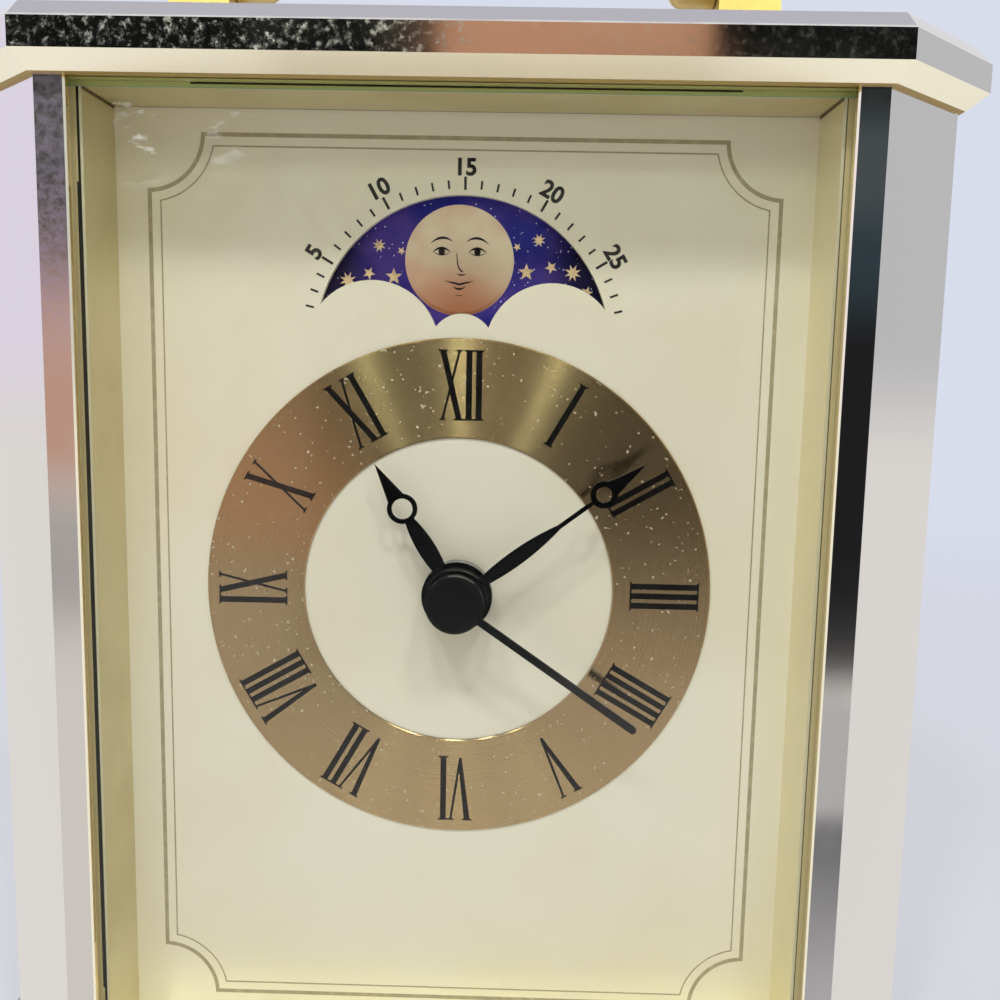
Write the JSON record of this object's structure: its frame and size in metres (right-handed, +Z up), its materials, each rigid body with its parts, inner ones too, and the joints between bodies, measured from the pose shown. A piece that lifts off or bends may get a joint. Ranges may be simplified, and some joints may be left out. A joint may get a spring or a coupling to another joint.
{
  "type": "moon phase desk clock",
  "caption": "Octagonal polished desk clock with a glazed dial box, a moon phase disc above the chapter ring, a hinged rear door and a swinging bail handle.",
  "frame": {"origin": "on the table under the middle of the case, at the centre of the plates in plan", "axes": "+Z up, -Y towards the front (dial), +X to the right as seen from the front"},
  "size_m": [0.1144, 0.0638, 0.1656],
  "materials": {
    "polished_case": "mirror polished",
    "screw_steel": "turned",
    "foot_rubber": "matt",
    "clear_glass": "clear",
    "gold_lining": "pale gold anodised, satin",
    "dial_cream": "satin cream",
    "ring_bronze": "circular brushed, bronze gold",
    "black_plastic": "fine moulded texture",
    "white_plastic": "moulded",
    "brass_small": "turned",
    "battery_shell": "printed sleeve, plain",
    "hand_black": "gloss black",
    "moon_print": "printed foil",
    "handle_brass": "polished",
    "coil_copper": "enamelled wire, close wound",
    "board_green": "lacquered board"
  },
  "bodies": {
    "case": {"top_plate": "polished_case", "base_plate": "polished_case", "pillar_front_left": "polished_case", "pillar_front_right": "polished_case", "pillar_rear_left": "polished_case", "pillar_rear_right": "polished_case", "side_panel_left": "polished_case", "side_panel_right": "polished_case", "tie_rods": "screw_steel", "feet": "foot_rubber", "front_glass": "clear_glass", "dial_surround": "gold_lining", "dial_plate": "dial_cream", "chapter_ring": "ring_bronze", "dial_screws": "screw_steel", "movement_carrier": "black_plastic", "carrier_nuts": "brass_small", "movement_case": "black_plastic", "case_screws": "screw_steel", "battery": "battery_shell", "battery_contacts": "screw_steel", "door_magnet": "black_plastic", "handle_posts": "handle_brass", "post_screws": "screw_steel", "pivot_screws": "handle_brass", "glass_strips": "foot_rubber", "train_bridge": "white_plastic", "stator": "screw_steel", "coil": "coil_copper", "coil_core": "screw_steel", "circuit_board": "board_green", "quartz_crystal": "screw_steel"},
    "minute_work": {"minute_hand": "hand_black", "cannon_pinion": "white_plastic"},
    "hour_work": {"hour_hand": "hand_black", "hour_wheel": "white_plastic"},
    "minute_wheel_body": {"minute_wheel": "white_plastic"},
    "time_setting": {"time_setting_arbor": "white_plastic", "time_setting_knob": "black_plastic"},
    "day_wheel_body": {"day_wheel": "white_plastic"},
    "second_work": {"second_hand": "hand_black", "second_arbor": "screw_steel", "seconds_wheel": "white_plastic"},
    "centre_wheel_body": {"centre_wheel": "brass_small"},
    "third_wheel_body": {"third_wheel": "white_plastic"},
    "step_wheel_body": {"step_wheel": "white_plastic"},
    "rotor_body": {"rotor": "screw_steel"},
    "moon": {"moon_disc": "moon_print"},
    "moon_setting": {"moon_setting_arbor": "white_plastic", "moon_setting_knob": "black_plastic"},
    "door": {"rear_door": "polished_case", "door_pins": "screw_steel", "door_knob": "brass_small", "door_keeper": "screw_steel"},
    "bail": {"handle_bail": "handle_brass"}
  },
  "joints": [
    {"name": "minute_turn", "type": "hinge", "parent": "case", "child": "minute_work", "pos_m": [0, 0, 0.0634], "axis": [0, 1, 0], "continuous": true},
    {"name": "hour_turn", "type": "hinge", "parent": "case", "child": "hour_work", "pos_m": [0, 0, 0.0634], "axis": [0, 1, 0], "continuous": true},
    {"name": "minute_wheel_turn", "type": "hinge", "parent": "case", "child": "minute_wheel_body", "pos_m": [0.00864, 0, 0.0634], "axis": [0, 1, 0], "continuous": true},
    {"name": "time_knob_turn", "type": "hinge", "parent": "case", "child": "time_setting", "pos_m": [0.01728, 0, 0.0634], "axis": [0, 1, 0], "continuous": true},
    {"name": "day_wheel_turn", "type": "hinge", "parent": "case", "child": "day_wheel_body", "pos_m": [-0.006, 0, 0.0707], "axis": [0, 1, 0], "continuous": true},
    {"name": "second_turn", "type": "hinge", "parent": "case", "child": "second_work", "pos_m": [0, 0, 0.0634], "axis": [0, 1, 0], "continuous": true},
    {"name": "moon_turn", "type": "hinge", "parent": "case", "child": "moon", "pos_m": [0, 0, 0.09215], "axis": [0, 1, 0], "continuous": true},
    {"name": "moon_knob_turn", "type": "hinge", "parent": "case", "child": "moon_setting", "pos_m": [-0.0151, 0, 0.07705], "axis": [0, 1, 0], "continuous": true},
    {"name": "centre_wheel_turn", "type": "hinge", "parent": "case", "child": "centre_wheel_body", "pos_m": [0, 0, 0.0634], "axis": [0, 1, 0], "continuous": true},
    {"name": "third_wheel_turn", "type": "hinge", "parent": "case", "child": "third_wheel_body", "pos_m": [-0.00589, 0, 0.0668], "axis": [0, 1, 0], "continuous": true},
    {"name": "step_wheel_turn", "type": "hinge", "parent": "case", "child": "step_wheel_body", "pos_m": [0.00416, 0, 0.0658], "axis": [0, 1, 0], "continuous": true},
    {"name": "rotor_turn", "type": "hinge", "parent": "case", "child": "rotor_body", "pos_m": [0.00524, 0, 0.06986], "axis": [0, 1, 0], "continuous": true},
    {"name": "door_swing", "type": "hinge", "parent": "case", "child": "door", "pos_m": [-0.0385, 0.0273, 0.0634], "axis": [0, 0, 1], "range_deg": [0, 100]},
    {"name": "bail_swing", "type": "hinge", "parent": "case", "child": "bail", "pos_m": [0, 0, 0.1388], "axis": [1, 0, 0], "range_deg": [-112, 112]}
  ],
  "couplings": [
    {"joint": "hour_turn", "follows": "minute_turn", "ratio": 0.083333},
    {"joint": "minute_wheel_turn", "follows": "minute_turn", "ratio": -0.33333},
    {"joint": "time_knob_turn", "follows": "minute_turn", "ratio": 1},
    {"joint": "day_wheel_turn", "follows": "minute_turn", "ratio": -0.041667},
    {"joint": "moon_knob_turn", "follows": "moon_turn", "ratio": -7.375},
    {"joint": "centre_wheel_turn", "follows": "second_turn", "ratio": 0.016667},
    {"joint": "third_wheel_turn", "follows": "second_turn", "ratio": -0.13333},
    {"joint": "step_wheel_turn", "follows": "second_turn", "ratio": -5},
    {"joint": "rotor_turn", "follows": "second_turn", "ratio": 30}
  ]
}
